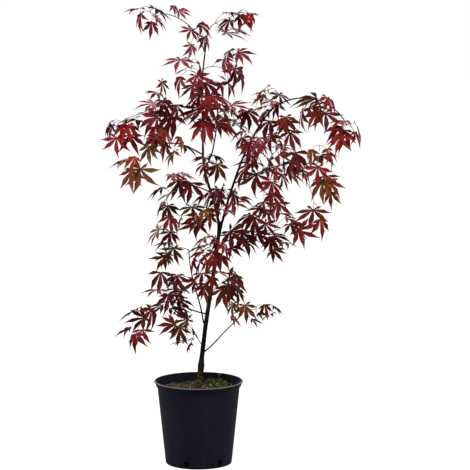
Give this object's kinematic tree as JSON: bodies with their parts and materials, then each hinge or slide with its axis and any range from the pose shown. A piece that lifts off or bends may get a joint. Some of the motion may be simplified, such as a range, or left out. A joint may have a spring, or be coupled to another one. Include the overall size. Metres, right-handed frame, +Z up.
{
  "type": "potted japanese maple",
  "caption": "Young red-leaved Japanese maple with a slender forked stem and an open, layered crown, growing in a round black nursery pot.",
  "frame": {"origin": "centre of the flat underside of the pot, on the surface that it stands on", "axes": "+Z up along the stem, -Y towards the front, +X to the right seen from the front"},
  "size_m": [0.5536, 0.3353, 1.0037],
  "materials": {
    "pot": "satin",
    "soil": "matte",
    "bark": "matte",
    "leaves": "matte"
  },
  "bodies": {
    "root": {"pot": "pot", "soil": "soil", "trunk": "bark", "arch_bough": "bark", "leader": "bark", "low_left_bough": "bark", "low_right_bough": "bark", "lower_left_stem": "bark", "middle_left_bough": "bark", "middle_right_bough": "bark", "right_back_bough": "bark", "right_bough": "bark", "shoulder_bough": "bark", "side_stem": "bark", "top_left_twig": "bark", "upper_left_bough": "bark", "upper_shoot": "bark", "leaves_arch_middle": "leaves", "leaves_arch_start": "leaves", "leaves_arch_tip": "leaves", "leaves_belt_back": "leaves", "leaves_centre_belt": "leaves", "leaves_centre_low_row": "leaves", "leaves_centre_middle": "leaves", "leaves_centre_node": "leaves", "leaves_centre_red": "leaves", "leaves_far_left": "leaves", "leaves_left_droop": "leaves", "leaves_left_inner": "leaves", "leaves_left_low_arm": "leaves", "leaves_left_low_tip": "leaves", "leaves_left_middle": "leaves", "leaves_left_middle_low": "leaves", "leaves_left_shoulder": "leaves", "leaves_low_back": "leaves", "leaves_low_front": "leaves", "leaves_low_left": "leaves", "leaves_low_left_inner": "leaves", "leaves_low_left_tip": "leaves", "leaves_low_middle": "leaves", "leaves_low_right": "leaves", "leaves_lower_belt": "leaves", "leaves_right_dense": "leaves", "leaves_right_inner": "leaves", "leaves_right_low_inner": "leaves", "leaves_right_low_outer": "leaves", "leaves_right_low_tip": "leaves", "leaves_right_middle": "leaves", "leaves_right_middle_back": "leaves", "leaves_right_outer_lower": "leaves", "leaves_right_outer_upper": "leaves", "leaves_right_upper": "leaves", "leaves_right_upper_back": "leaves", "leaves_top_left": "leaves", "leaves_top_middle": "leaves", "leaves_top_right": "leaves", "leaves_top_tip": "leaves", "leaves_upper_back": "leaves", "leaves_upper_left": "leaves", "leaves_upper_right": "leaves"}
  },
  "joints": []
}
